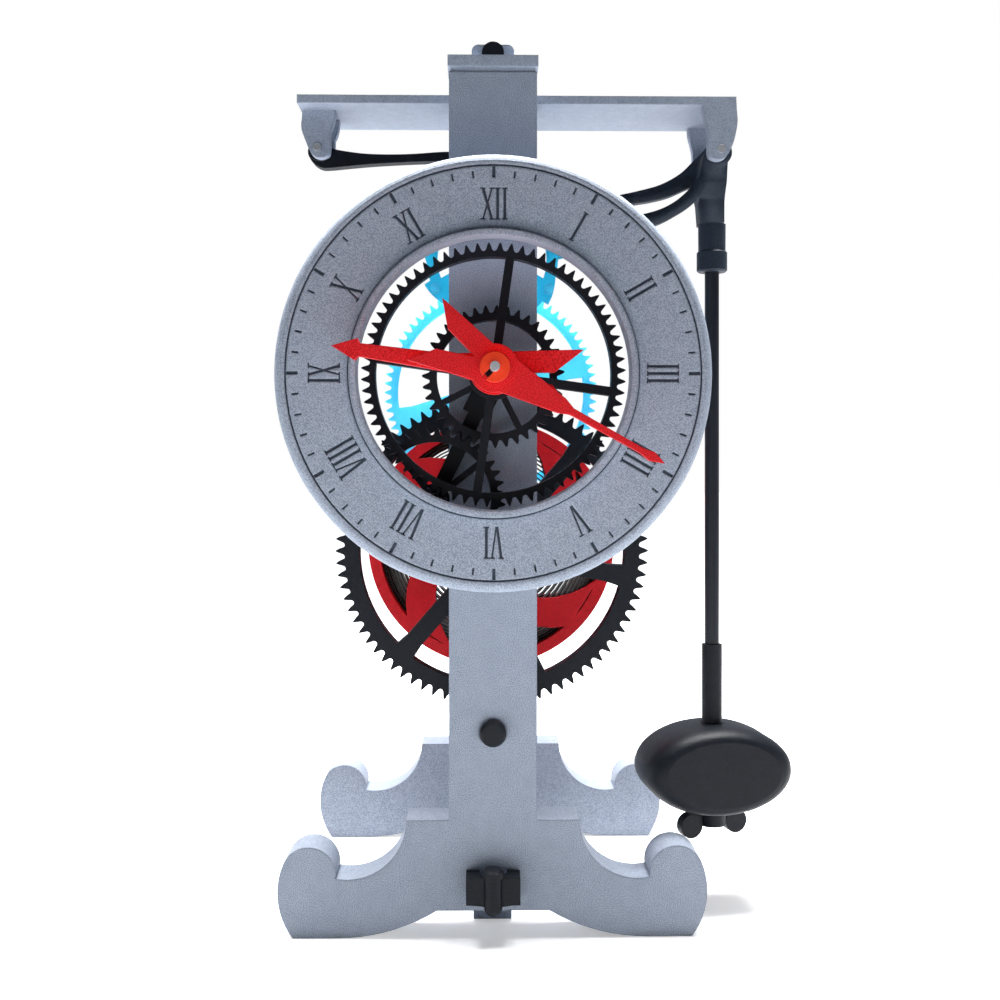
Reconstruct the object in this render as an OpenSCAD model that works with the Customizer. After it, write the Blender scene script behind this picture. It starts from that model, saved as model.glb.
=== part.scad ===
// Pendulum clock model: two scroll-footed columns, a spring barrel train, a pendulum
// with two curved arms and a hooked detent over the escape wheel.
// X runs to the right, Y runs away from the dial and Z runs up. All sizes are in millimetres.

/* [Frame] */
// Thickness of the front and rear frame plates
frame_t = 12.2; // [10:0.1:15]
// Clear distance between the two frame plates
frame_gap = 77; // [74:0.5:84]
// Width of each column
column_w = 26; // [25:0.5:30]
// Width over the scroll feet
foot_w = 127; // [120:1:140]
// Height of the scroll tops over the floor
scroll_h = 26.8; // [25:0.2:30]
// Height of the shoulders where the feet meet the column
shoulder_h = 34.6; // [33:0.2:38]
// Width over the shoulders
shoulder_w = 51.2; // [48:0.4:56]
// Height of the flat arch under the column
arch_h = 7.9; // [7:0.1:10]
// Width of the base beam
base_beam_w = 11.6; // [10:0.2:14]
// Height of the top bridge's rib over the columns
bridge_h = 9; // [7:0.2:11]

/* [Dial] */
// Outer diameter of the dial
dial_d = 121.2; // [117:0.2:124]
// Diameter of the opening in the dial
dial_hole_d = 75.6; // [75.5:0.1:78]
// Thickness of the dial
dial_t = 5; // [4:0.2:6]
// Distance from the front column's face to the back of the dial
dial_standoff = 18; // [18:0.5:22]

/* [Going train] */
// Height of the centre arbor over the floor
centre_z = 164.8; // [163:0.2:168]
// Module of the great wheel and centre pinion
great_module = 1.2; // [1.18:0.01:1.22]
// Teeth of the great wheel
great_teeth = 80; // [78:1:82]
// Leaves of the centre pinion
centre_leaves = 8; // [8:1:10]
// Module of the centre wheel and escape pinion
centre_module = 1.025; // [1.01:0.005:1.04]
// Module of the motion work's wheels
wheel_module = 1; // [0.99:0.01:1.01]
// Teeth of the centre wheel
centre_teeth = 72; // [70:1:74]
// Leaves of the escape pinion
escape_leaves = 6; // [6:1:8]
// Thickness of the great wheel
great_t = 5; // [4:0.2:6]
// Thickness of the light wheels
wheel_t = 4; // [3:0.2:5]
// Diameter of the steel arbors
arbor_d = 2.5; // [2.4:0.05:2.8]
// Outer diameter of the spring barrel
barrel_d = 84.9; // [80:0.5:85.5]
// Depth of the spring barrel
barrel_h = 12.5; // [11:0.5:14]

/* [Motion work] */
// Teeth of the minute wheel and of the idler wheel
minute_teeth = 39; // [39:1:39]
// Teeth of the hour wheel
hour_teeth = 72; // [72:1:72]
// Leaves of the idler pinion
idler_leaves = 6; // [6:1:6]
// Leaves of the drive pinion on the great wheel's pipe
drive_leaves = 10; // [10:1:10]
// Reach of the minute hand from its centre
minute_reach = 50.6; // [48:0.2:54]
// Reach of the hour hand from its centre
hour_reach = 43.2; // [40:0.2:46]

/* [Escapement] */
// Teeth of the escape wheel
escape_teeth = 9; // [8:1:10]
// Radius of the escape wheel at its tooth tips
escape_tip_r = 23; // [22.6:0.1:23.4]
// Radius of the escape wheel's rim between the teeth
escape_root_r = 20.9; // [20.4:0.1:21.2]
// Inner radius of the escape wheel's rim
escape_inner_r = 17.4; // [16.6:0.1:17.6]
// Diameter of the impulse pins
impulse_pin_d = 3; // [2.6:0.1:3.2]

/* [Pendulum] */
// Height of the pendulum pivot over the escape wheel's centre
pivot_rise = 31.4; // [31:0.1:33]
// Height of the hanger beam's top over the pivots
beam_rise = 16.1; // [15.5:0.1:17]
// Depth of the hanger beam behind the front column
beam_depth = 28.8; // [27:0.2:31]
// Height of the columns over the hanger beam
column_rise = 3.2; // [3:0.1:6]
// Distance from the column's centre line to the pendulum pivot
pendulum_x = 70.2; // [69:0.2:74]
// Distance from the column's centre line to the detent pivot
detent_x = 54.5; // [53.5:0.1:55.5]
// Height of the detent pivot over the pendulum pivot
detent_rise = 2; // [1:0.1:3]
// Distance from the pendulum pivot to the middle of the bob
pendulum_l = 193; // [180:0.5:196]
// Diameter of the pendulum rod
rod_d = 4.5; // [4:0.1:5]
// Width of the bob
bob_w = 47.4; // [44:0.2:50]
// Height of the bob
bob_h = 27.6; // [25:0.2:30]
// Thickness of the bob
bob_t = 25; // [20:0.5:27]
// Turn of the bob about its rod
bob_turn = 8; // [0:1:14]

/* [Fits] */
// Radial clearance of every running fit
run_fit = 0.05; // [0.03:0.01:0.08]
// Clearance between faces that turn past each other
face_gap = 0.5; // [0.3:0.05:0.7]

/* [Hidden] */
$fn = 96;

// Depths of the layers, counted from the front column's front face
rear_y = frame_t + frame_gap;
centre_depth = 60.5;
hands_out = 14;
back_y = rear_y + frame_t;
minute_y = -9;
hour_y = -16.5;
hanger_mid_y = frame_t + beam_depth / 2;
escape_y = hanger_mid_y - wheel_t / 2;
great_y = frame_t + 12;
centre_y = frame_t + centre_depth;
barrel_y = centre_y - 2.2 - barrel_h;
dial_back_y = -dial_standoff;
dial_face_y = dial_back_y - dial_t;
hour_hand_y = dial_face_y - hands_out;
minute_hand_y = hour_hand_y - 5;
hand_t = 3.4;
clip_y = minute_hand_y - 3;
stud_end_y = clip_y - 3;

// Places of the arbors in the plane of the wheels
great_dist = (great_teeth + centre_leaves) * great_module / 2;
great_z = centre_z - great_dist;
escape_z = centre_z + (centre_teeth + escape_leaves) * centre_module / 2;
pivot_z = escape_z + pivot_rise;
detent_z = pivot_z + detent_rise;
beam_z = pivot_z + beam_rise;
column_h = beam_z + column_rise;
hour_rim_r = hour_teeth * wheel_module / 2 - 2.8;
minute_rim_r = minute_teeth * wheel_module / 2 - 3.2;
idler_dist = (minute_teeth + minute_teeth) * wheel_module / 2;
drive_dist = (minute_teeth + drive_leaves) * wheel_module / 2;
idler_dz = (drive_dist * drive_dist - idler_dist * idler_dist - great_dist * great_dist)
    / (2 * great_dist);
idler_dx = -sqrt(idler_dist * idler_dist - idler_dz * idler_dz);
idler_angle = atan2(idler_dz, idler_dx);
drive_angle = atan2(idler_dz + great_dist, idler_dx);

// Arms of the pendulum head: one for the pins' push, one that lifts the detent's tail
arm_t = 4;
push_y = escape_y - 1.2 - arm_t;
lift_y = escape_y + wheel_t + 1.2;
lift_x = 21;
lift_z = escape_z + 16.2;
lift_r = 1.3;
// Greatest swing of the pendulum to each side, in degrees
swing = 6;
lift_rise = (pendulum_x - lift_x) * sin(swing) + (pivot_z - lift_z) * (1 - cos(swing));
// The detent's tail stands just over the lifting pin at the end of the swing
tail_z = lift_z + lift_rise + lift_r + 0.25;

// Rounding of the bob's edge, across its face and along its thickness
bob_inset = 5.4;
bob_edge = 7;
// Half-width, half-height and half-thickness of the bob's oval layer k
function bob_a(k) = bob_w / 2 - bob_inset * (1 - cos(k * 18));
function bob_b(k) = bob_h / 2 - bob_inset * 0.66 * (1 - cos(k * 18));
function bob_c(k) = bob_t / 2 - bob_edge * (1 - sin(k * 18));
bob_reach = max([for (k = [0:5]) bob_a(k) * cos(bob_turn) + bob_c(k) * sin(bob_turn)]);
nut_h = 4.4;

// Where the model's own origin lies: under the middle of the whole object
left_x = -foot_w / 2;
right_x = pendulum_x + bob_reach;
key_end_y = back_y + 21;
origin_x = (left_x + right_x) / 2;
origin_y = (stud_end_y + key_end_y) / 2;

grey = [0.56, 0.6, 0.66];
black = [0.13, 0.14, 0.17];
red = [0.83, 0.14, 0.16];
deep_red = [0.75, 0.13, 0.17];
orange = [0.9, 0.22, 0.1];
blue = [0.27, 0.8, 0.97];
sky = [0.14, 0.72, 0.93];
steel = [0.75, 0.77, 0.8];
dark_steel = [0.2, 0.17, 0.15];

// Tooth outlines: each row is the height from the pitch circle in modules and the
// half-width as a share of the pitch
WHEEL_TOOTH = [[-1.15, 0.42], [-0.85, 0.3], [0, 0.19], [0.62, 0.12], [1.15, 0.035]];
PINION_LEAF = [[-1.35, 0.17], [0, 0.17], [0.45, 0.11], [0.7, 0.03]];
EQUAL_TOOTH = [[-1.15, 0.42], [-0.85, 0.31], [0, 0.2], [0.6, 0.12], [1, 0.05]];

// The clock's own frame: sets everything over the model's origin
module place() {
    translate([-origin_x, -origin_y, 0]) children();
}

// A flat outline in X and Z, given a thickness t from depth y backwards
module plate(y, t) {
    translate([0, y + t, 0]) rotate([90, 0, 0]) linear_extrude(t) children();
}

// A round bar along Y from depth y backwards, at x and z
module bar(x, z, y, len, r) {
    translate([x, y + len, z]) rotate([90, 0, 0]) cylinder(len, r, r);
}

// Outline of a gear with n teeth of module m; phase turns a tooth to that angle
module gear_outline(n, m, rows, phase) {
    pitch = 360 / n;
    r0 = n * m / 2;
    k = len(rows);
    polygon([for (i = [0:n - 1]) for (j = [0:2 * k - 1])
        let (row = j < k ? rows[j] : rows[2 * k - 1 - j],
            side = j < k ? -1 : 1,
            a = phase + (i + side * row[1]) * pitch,
            r = r0 + row[0] * m)
        [r * cos(a), r * sin(a)]]);
}

// A smooth curve through the points p, with n steps between neighbours
function smooth(p, n) = concat(
    [for (i = [0:len(p) - 2]) for (j = [0:n - 1])
        let (t = j / n, a = p[max(i - 1, 0)], b = p[i], c = p[i + 1], d = p[min(i + 2, len(p) - 1)])
        0.5 * (2 * b + (c - a) * t + (2 * a - 5 * b + 4 * c - d) * t * t
            + (3 * b - a - 3 * c + d) * t * t * t)],
    [p[len(p) - 1]]);

// Phase that puts a gear of n teeth in mesh with a mate of mate_n teeth and mate_phase,
// which lies in the direction dir from it
function mesh_phase(n, dir, mate_n, mate_phase) =
    dir - 360 / n * (0.5 - (dir + 180 - mate_phase) * mate_n / 360);

// Spokes of an even width from the hub to the rim
module even_spokes(count, first, w, r) {
    for (i = [0:count - 1]) rotate(first + i * 360 / count)
        translate([0, -w / 2]) square([r, w]);
}

// Broad spokes that widen a little where they meet the hub and the rim
module flared_spokes(count, first, w, hub_r, rim_r) {
    half = w / 2;
    flare = w * 0.14;
    for (i = [0:count - 1]) rotate(first + i * 360 / count)
        polygon([[hub_r - 2, -half - flare], [hub_r + 4, -half], [rim_r - 5, -half],
            [rim_r + 0.5, -half - flare], [rim_r + 0.5, half + flare], [rim_r - 5, half],
            [hub_r + 4, half], [hub_r - 2, half + flare]]);
}

// A toothed rim carried by spokes on a hub with a round hole
module spoked_wheel(rim_r, hub_r, hole_r) {
    difference() {
        union() {
            difference() {
                children(0);
                circle(rim_r);
            }
            intersection() {
                children(1);
                circle(rim_r + 0.6);
            }
            circle(hub_r);
        }
        circle(hole_r);
    }
}

// FRAME

// The foot's outline is built of arcs: a scroll that runs smoothly into the outer side,
// a hollow between scroll and shoulder, and an underside that curves up to the arch
foot_half = foot_w / 2;
scroll_r = 8;
side_r = 21.9;
side_x = foot_half - side_r;
side_z = 13.4;
scroll_rise = scroll_h - scroll_r - side_z;
scroll_run = sqrt(pow(side_r - scroll_r, 2) - scroll_rise * scroll_rise);
scroll_x = side_x + scroll_run;
hollow_r = 17.4;
seat_z = shoulder_h - hollow_r;
hollow_x = shoulder_w / 2 + hollow_r;
under_r = 56;
under_x = 16.6 + sqrt(under_r * under_r - pow(under_r - arch_h, 2));

module foot_half_outline() {
    // Body up to the scroll, with the hollow taken out
    difference() {
        square([scroll_x - scroll_r + 0.5, shoulder_h]);
        translate([hollow_x, shoulder_h]) circle(hollow_r, $fn = 144);
    }
    translate([scroll_x, scroll_h - scroll_r]) circle(scroll_r);
    // Outer side, from the floor up to where the scroll takes over
    intersection() {
        translate([side_x, side_z]) circle(side_r, $fn = 180);
        polygon([[scroll_x - scroll_r, 0], [foot_half + 5, 0],
            [side_x + 2 * scroll_run, side_z + 2 * scroll_rise],
            [scroll_x, scroll_h - scroll_r], [scroll_x - scroll_r, scroll_h - scroll_r - 3]]);
    }
    square([scroll_x, seat_z]);
}

// Room under the arch, for one side
module arch_half_outline() {
    difference() {
        translate([-1, -1]) square([under_x + 1, arch_h + 1]);
        translate([under_x, under_r]) circle(under_r, $fn = 240);
    }
}

module foot_outline() {
    difference() {
        union() {
            foot_half_outline();
            mirror([1, 0]) foot_half_outline();
        }
        arch_half_outline();
        mirror([1, 0]) arch_half_outline();
    }
}

tenon_w = 8;
tenon_z0 = 10;
tenon_h = 9;
tenon_out = 2.2;
peg_z = great_z - great_teeth * great_module / 2 - 3.6;
peg_hole_r = 4;
cap_t = 4.8;

module frame_outline() {
    difference() {
        union() {
            foot_outline();
            translate([-column_w / 2, shoulder_h - 1])
                square([column_w, column_h - shoulder_h + 1]);
        }
        translate([-tenon_w / 2 - run_fit, tenon_z0 - run_fit])
            square([tenon_w + 2 * run_fit, tenon_h + 2 * run_fit]);
        translate([0, peg_z]) circle(peg_hole_r + run_fit);
    }
}

// Blind pivot holes in the face of a plate that starts at depth y
module pivot_hole(z, y, deep, r) {
    bar(0, z, y, deep, r);
}

blind = 8;
pipe_r = 4.6;
post_r = 3;
peg_r = 2;
POSTS = [[-9, 46.5], [9, 46.5], [9.6, -45]];

module front_frame() {
    color(grey) place() difference() {
        plate(0, frame_t) frame_outline();
        // Centre and escape arbors run in blind holes in the back
        pivot_hole(centre_z, frame_t - blind + 3, blind, arbor_d / 2 + run_fit);
        pivot_hole(escape_z, frame_t - blind, blind + 1, arbor_d / 2 + run_fit);
        // The great wheel's pipe turns in a through hole
        pivot_hole(great_z, -1, frame_t + 2, pipe_r + run_fit);
        // The hands' stud is pressed into the front
        pivot_hole(centre_z, -1, 4.5, arbor_d / 2);
        for (p = POSTS) bar(p[0], centre_z + p[1], -1, 6, peg_r);
        // Sockets of the hanger beam's two dowels
        for (x = [-7, 7]) bar(x, dowel_z, frame_t - 5, 6, 2);
    }
}

module rear_frame() {
    color(grey) place() difference() {
        plate(rear_y, frame_t) frame_outline();
        pivot_hole(centre_z, rear_y - 1, blind + 1, arbor_d / 2 + run_fit);
        pivot_hole(escape_z, rear_y - 1, blind + 1, arbor_d / 2 + run_fit);
        pivot_hole(great_z, rear_y - 1, frame_t + 2, winding_r + run_fit);
        // Pilot hole of the click's screw
        bar(click_x, great_z + click_dz, back_y - 6, 7, 1);
    }
}

module base_beam() {
    half = base_beam_w / 2;
    color(grey) place() union() {
        translate([-half, frame_t, 0.5]) cube([base_beam_w, frame_gap, tenon_z0 + tenon_h - 0.5]);
        translate([-tenon_w / 2, -tenon_out, tenon_z0])
            cube([tenon_w, back_y + 2 * tenon_out, tenon_h]);
    }
}

lock_w = 15.8;
lock_d = 6.2;
lock_pin_y = -5.6;
lock_z0 = 12.4;
lock_h = 7.4;
lock_pin_r = 2.65;

// Bowed cross bar that caps the tenon, and the round pin that holds it; facing -Y
module lock_key_shape() {
    difference() {
        rotate([90, 0, 0]) linear_extrude(lock_d) difference() {
            translate([-lock_w / 2, lock_z0 - 1]) square([lock_w, lock_h + 1]);
            translate([-lock_w / 2, lock_z0 - 30.6]) circle(30);
            translate([lock_w / 2, lock_z0 - 30.6]) circle(30);
        }
        translate([-tenon_w / 2 - run_fit, -tenon_out - 0.2, lock_z0 - 5])
            cube([tenon_w + 2 * run_fit, tenon_out + 1, tenon_h + 8]);
        translate([0, lock_pin_y, 0]) cylinder(40, lock_pin_r, lock_pin_r);
    }
}

module lock_pin_shape() {
    translate([0, lock_pin_y, 0]) union() {
        translate([0, 0, 8.4 + lock_pin_r]) cylinder(11, lock_pin_r, lock_pin_r);
        translate([0, 0, 8.4 + lock_pin_r]) sphere(lock_pin_r);
        translate([0, 0, lock_z0 + lock_h]) cylinder(1.6, 3.3, 3.3);
        translate([0, 0, lock_z0 + lock_h + 1.6]) cylinder(0.8, 3.3, 2.5);
    }
}

module front_lock_key() { color(black) place() lock_key_shape(); }

module front_lock_pin() { color(black) place() lock_pin_shape(); }

module rear_lock_key() {
    color(black) place() translate([0, back_y, 0]) rotate([0, 0, 180]) lock_key_shape();
}

module rear_lock_pin() {
    color(black) place() translate([0, back_y, 0]) rotate([0, 0, 180]) lock_pin_shape();
}

// Flat spacing bar between the columns, low enough to pass under the great wheel, with a
// round end in each column
module spacing_bar() {
    top = great_z - great_teeth * great_module / 2 - 1.2 * great_module - 1.2;
    color(grey) place() difference() {
        union() {
            translate([-8, frame_t, top - 8]) cube([16, frame_gap, 8]);
            bar(0, peg_z, 0, frame_t + 3, peg_hole_r);
            bar(0, peg_z, rear_y - 3, frame_t + 3, peg_hole_r);
        }
        // The round ends are cut off flush where they stand over the bar
        translate([-8, frame_t, top]) cube([16, frame_gap, 8]);
        bar(0, peg_z, -1, 9, 1.5);
        bar(0, peg_z, back_y - 8, 9, 1.5);
    }
}

// Black peg whose shank is pressed into the end of the spacing bar; facing -Y
module peg_shape() {
    translate([0, 0, peg_z]) rotate([90, 0, 0]) union() {
        cylinder(1.8, 3.9, 3.9);
        translate([0, 0, 1.8]) cylinder(0.9, 3.9, 3);
        translate([0, 0, -7]) cylinder(7, 1.5, 1.5);
    }
}

module front_peg() { color(black) place() peg_shape(); }

module rear_peg() {
    color(black) place() translate([0, back_y, 0]) rotate([0, 0, 180]) peg_shape();
}

bridge_w = 12.6;
rib_corner_r = 2;
cap_lip = 0.4;

// Bar across the tops of both columns: a thin cap on each column and a rib between
module top_bridge() {
    color(grey) place() difference() {
        union() {
            // Each cap is a lip over a slightly narrower step
            for (y = [0, rear_y]) {
                translate([-column_w / 2 + 0.35, y + 0.35, column_h])
                    cube([column_w - 0.7, frame_t - 0.7, 2]);
                translate([-column_w / 2 - cap_lip, y - cap_lip, column_h + 1.5])
                    cube([column_w + 2 * cap_lip, frame_t + 2 * cap_lip, cap_t - 1.5]);
            }
            // The rib's upper corners are rounded
            plate(3, back_y - 6) translate([0, column_h]) union() {
                translate([-bridge_w / 2, 0.6])
                    square([bridge_w, bridge_h - rib_corner_r - 0.6]);
                translate([rib_corner_r - bridge_w / 2, 0.6])
                    square([bridge_w - 2 * rib_corner_r, bridge_h - 0.6]);
                for (s = [-1, 1]) translate([s * (bridge_w / 2 - rib_corner_r),
                    bridge_h - rib_corner_r]) circle(rib_corner_r);
            }
        }
        // Sockets of the two cap pegs
        for (y = [2, back_y - 8]) bar(0, column_h + cap_t + 1.6, y, 6, 1.3);
    }
}

// Black half-round peg at each end of the bridge; facing -Y
module cap_peg_shape() {
    z = column_h + cap_t;
    translate([0, 3, 0]) rotate([90, 0, 0]) union() {
        linear_extrude(1.8) intersection() {
            translate([0, z + 1.2]) circle(3.3);
            translate([-5, z]) square([10, 10]);
        }
        translate([0, z + 1.6, -4.5]) cylinder(4.5, 1.3, 1.3);
    }
}

module front_cap_peg() { color(black) place() cap_peg_shape(); }

module rear_cap_peg() {
    color(black) place() translate([0, back_y, 0]) rotate([0, 0, 180]) cap_peg_shape();
}

// HANGER

flange_t = 2.5;
cheek_t = 3.4;
// The pendulum hangs between wide cheeks, flush with the beam; the detent between narrow ones
pendulum_gap = beam_depth - 2 * cheek_t;
detent_gap = 7.2;
cheek_out = 5;
pad_depth = 11;
dowel_z = beam_z - 5.5;

// One cheek, from the beam's end on the outer side, round the pivot and up the inner side;
// the outer side lies towards +X, and top is the height of the beam's top over the pin
module cheek_outline(top) {
    difference() {
        polygon(smooth([[cheek_out - 0.4, top], [cheek_out - 0.25, top - 4.1],
            [cheek_out, top - 7.9], [3.9, 2.6], [1.9, -1.8], [-0.7, -3.2], [-3.4, -2.3],
            [-4, 0], [-4, 5], [-4.6, top - 7.7], [-5.4, top - 4.3], [-5.6, top]], 4));
        circle(pin_r);
    }
}

// A pair of cheeks with the clear width gap between them, about the beam's middle
module cheek_pair(gap, top) {
    for (y = [hanger_mid_y - gap / 2 - cheek_t, hanger_mid_y + gap / 2])
        plate(y, cheek_t) cheek_outline(top);
}

module hanger_beam() {
    left = -detent_x - cheek_out - 0.2;
    right = pendulum_x + cheek_out - 0.4;
    color(grey) place() union() {
        translate([left, frame_t, beam_z - flange_t])
            cube([right - left, beam_depth, flange_t]);
        // Pad that seats against the column, with two dowels
        translate([-11, frame_t, beam_z - flange_t - 6]) cube([22, pad_depth, 7]);
        for (x = [-7, 7]) bar(x, dowel_z, frame_t - 5, 6, 2);
        translate([pendulum_x, 0, pivot_z]) cheek_pair(pendulum_gap, beam_z - pivot_z);
        translate([-detent_x, 0, detent_z]) mirror([1, 0, 0])
            cheek_pair(detent_gap, beam_z - detent_z);
    }
}

pin_r = 1.25;

// Steel pin through a pair of cheeks, standing a little proud of both
module hanger_pin(x, z, gap) {
    len = gap + 2 * cheek_t + 1.2;
    bar(x, z, hanger_mid_y - len / 2, len, pin_r);
}

module pendulum_pin() { color(steel) place() hanger_pin(pendulum_x, pivot_z, pendulum_gap); }

module detent_pin() { color(steel) place() hanger_pin(-detent_x, detent_z, detent_gap); }

// ESCAPEMENT

// Tooth tips at rest: one stands just right of the top, under the detent's hook
escape_phase = 81.5;
hook_drop = 0.45;

// Ring with saw teeth: each has a steep face on its clockwise side and a long back
module escape_outline() {
    pitch = 360 / escape_teeth;
    back = pitch * 0.56;
    polygon([for (i = [0:escape_teeth - 1]) for (p = concat(
        [[escape_root_r, -1.2], [escape_tip_r, 0], [escape_tip_r - 0.1, 1.2]],
        [for (t = [1:5]) [escape_tip_r - (escape_tip_r - escape_root_r) * t / 5,
            1.2 + (back - 1.2) * t / 5]],
        [for (t = [1:3]) [escape_root_r, back + (pitch - 1.2 - back) * t / 4]]))
        let (a = escape_phase + i * pitch + p[1])
        [p[0] * cos(a), p[0] * sin(a)]]);
}

pin_circle_r = escape_root_r - 0.4;
pin_lead = 8.1;
impulse_len = 6.3;
function pin_angle(i) = escape_phase + pin_lead + i * 360 / escape_teeth;

module escape_wheel() {
    color(sky) place() translate([0, 0, escape_z]) difference() {
        plate(escape_y, wheel_t) difference() {
            union() {
                difference() {
                    escape_outline();
                    circle(escape_inner_r);
                }
                even_spokes(3, 90, 5, escape_inner_r + 0.6);
                circle(5);
            }
            circle(arbor_d / 2);
        }
        for (i = [0:escape_teeth - 1]) rotate([0, -pin_angle(i), 0])
            bar(pin_circle_r, 0, escape_y - 1, wheel_t + 2, impulse_pin_d / 2);
    }
}

module impulse_pins() {
    color(blue) place() translate([0, 0, escape_z])
        for (i = [0:escape_teeth - 1]) rotate([0, -pin_angle(i), 0])
            bar(pin_circle_r, 0, escape_y - impulse_len + 0.3, wheel_t + impulse_len, impulse_pin_d / 2);
}

module escape_arbor() {
    start = frame_t - blind + 0.4;
    color(steel) place() bar(0, escape_z, start, rear_y + blind - 0.4 - start, arbor_d / 2);
}

module escape_pinion() {
    color(blue) place() translate([0, 0, escape_z]) plate(centre_y - 1.5, wheel_t + 3) difference() {
        gear_outline(escape_leaves, centre_module, PINION_LEAF, -90 + 180 / escape_leaves);
        circle(arbor_d / 2);
    }
}

// Detent: a long curved lever from the left pivot over the escape wheel, with a hook
// that drops in front of a tooth and a tail that the pendulum's upper arm lifts
module detent_lever() {
    hook_x = escape_tip_r * cos(escape_phase) + 1.1;
    hook_z = escape_z + sqrt(pow(escape_tip_r + hook_drop, 2) - hook_x * hook_x);
    upper = smooth([[-detent_x, detent_z + 3], [-50.9, pivot_z + 3.1], [-46, pivot_z + 2.1],
        [-40, pivot_z + 1.4], [-33, pivot_z + 1.2], [-25, pivot_z + 1.4], [-15, pivot_z + 2.1],
        [-5, pivot_z + 2], [6, pivot_z + 0.4], [16, pivot_z - 2.7], [24.6, pivot_z - 5]], 4);
    lower = smooth([[24.8, tail_z], [19, tail_z], [12, pivot_z - 7.2],
        [hook_x + 3.4, pivot_z - 6.2]], 4);
    back = smooth([[hook_x - 0.5, pivot_z - 4.6], [-6, pivot_z - 1.8], [-15, pivot_z - 0.9],
        [-23, pivot_z - 1], [-31, pivot_z - 1.4], [-38.6, pivot_z - 1.9], [-46, pivot_z - 2.6],
        [-51, pivot_z - 3.1], [-54, pivot_z - 3], [-56.6, pivot_z - 1.3],
        [-detent_x - 3.2, detent_z - 1]], 4);
    color(black) place() difference() {
        union() {
            plate(escape_y, wheel_t) union() {
                polygon(concat(upper, lower, [[hook_x + 1.7, hook_z + 0.3], [hook_x, hook_z]], back));
                translate([-detent_x, detent_z]) circle(3.7);
            }
            bar(-detent_x, detent_z, hanger_mid_y - (detent_gap - face_gap) / 2,
                detent_gap - face_gap, 3.2);
        }
        bar(-detent_x, detent_z, frame_t, 40, pin_r + run_fit);
    }
}

// Arms of the pendulum head: the lower, front arm takes the push of the pins, and the
// upper, rear arm carries the lifting pin under the detent's tail
module push_arm_outline() {
    upper = smooth([[-3, -3], [-7.6, -9.4], [-11, -12.9], [-14.5, -15.4], [-19, -17.4],
        [-26, -19.1], [-34, -20], [-42, -20], [-49.6, -19.5]], 4);
    lower = smooth([[-49.9, -20.9], [-46, -22.4], [-38, -23.6], [-28, -23.5], [-19, -21.7],
        [-12, -18.2], [-7.6, -15.2], [-5, -12.4], [-3, -9]], 4);
    translate([pendulum_x, pivot_z]) polygon(concat(upper, lower));
}

module lift_arm_outline() {
    tip_x = lift_x - pendulum_x;
    tip_z = lift_z - pivot_z;
    upper = smooth([[-2, 4.2], [-5.6, 0.6], [-9.8, -3.4], [-16, -6.8], [-23, -8.8], [-29.4, -10.2],
        [-38, -11.8], [tip_x, tip_z + 2.2]], 4);
    lower = smooth([[tip_x, tip_z - 2.2], [-38, -15.6], [-25.5, -13], [-19.4, -12],
        [-13, -10.4], [-6.6, -7.6], [-2, -6.4]], 4);
    union() {
        translate([pendulum_x, pivot_z]) polygon(concat(upper, lower));
        translate([lift_x, lift_z]) circle(2.2);
    }
}

head_drop = 20.4;
sleeve_r = 4.35;
collar_r = 4.8;
collar_h = 6.6;

module pendulum_head() {
    // The head fills the room between the outer faces of its two arms
    front = push_y;
    back = lift_y + arm_t;
    color(black) place() difference() {
        union() {
            plate(push_y, arm_t) push_arm_outline();
            plate(lift_y, arm_t) lift_arm_outline();
            bar(lift_x, lift_z, escape_y - 0.4, lift_y - escape_y + 2, lift_r);
            // Round boss between the cheeks
            bar(pendulum_x, pivot_z, hanger_mid_y - (pendulum_gap - face_gap) / 2,
                pendulum_gap - face_gap, 4.1);
            // Head below the boss, drawn in to the sleeve's width both ways
            intersection() {
                plate(front, back - front) translate([pendulum_x, pivot_z])
                    polygon([[-4.1, 0], [3.7, 0], [3.4, -5], [3.1, -12], [3.1, -head_drop],
                        [-4.1, -head_drop], [-4.6, -14], [-5.2, -8]]);
                translate([pendulum_x - 10, 0, 0]) rotate([90, 0, 90]) linear_extrude(20)
                    polygon([[front, pivot_z + 1], [front, pivot_z - 8],
                        [hanger_mid_y - sleeve_r, pivot_z - 14],
                        [hanger_mid_y - sleeve_r, pivot_z - head_drop],
                        [hanger_mid_y + sleeve_r, pivot_z - head_drop],
                        [hanger_mid_y + sleeve_r, pivot_z - 14],
                        [back, pivot_z - 8], [back, pivot_z + 1]]);
            }
        }
        bar(pendulum_x, pivot_z, frame_t, 40, pin_r + run_fit);
        // Socket of the rod
        translate([pendulum_x, hanger_mid_y, pivot_z - 21]) cylinder(12, rod_d / 2, rod_d / 2);
    }
}

sleeve_top = pivot_z - head_drop;
sleeve_len = 15.1;

// Sleeve on the rod under the head, with a thicker collar at its lower end
module rod_sleeve() {
    color(black) place() translate([pendulum_x, hanger_mid_y, sleeve_top - sleeve_len])
        difference() {
            union() {
                cylinder(0.5, collar_r - 0.5, collar_r);
                translate([0, 0, 0.5]) cylinder(collar_h - 1, collar_r, collar_r);
                translate([0, 0, collar_h - 0.5]) cylinder(0.5, collar_r, sleeve_r);
                cylinder(sleeve_len, sleeve_r - 0.1, sleeve_r);
            }
            translate([0, 0, -1]) cylinder(sleeve_len + 2, rod_d / 2, rod_d / 2);
        }
}

bob_z = pivot_z - pendulum_l;
rod_top = pivot_z - 9.5;
rod_low = bob_z - bob_h / 2 - nut_h - 0.9;

module pendulum_rod() {
    color(black) place() translate([pendulum_x, hanger_mid_y, rod_low])
        cylinder(rod_top - rod_low, rod_d / 2, rod_d / 2);
}

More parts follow.
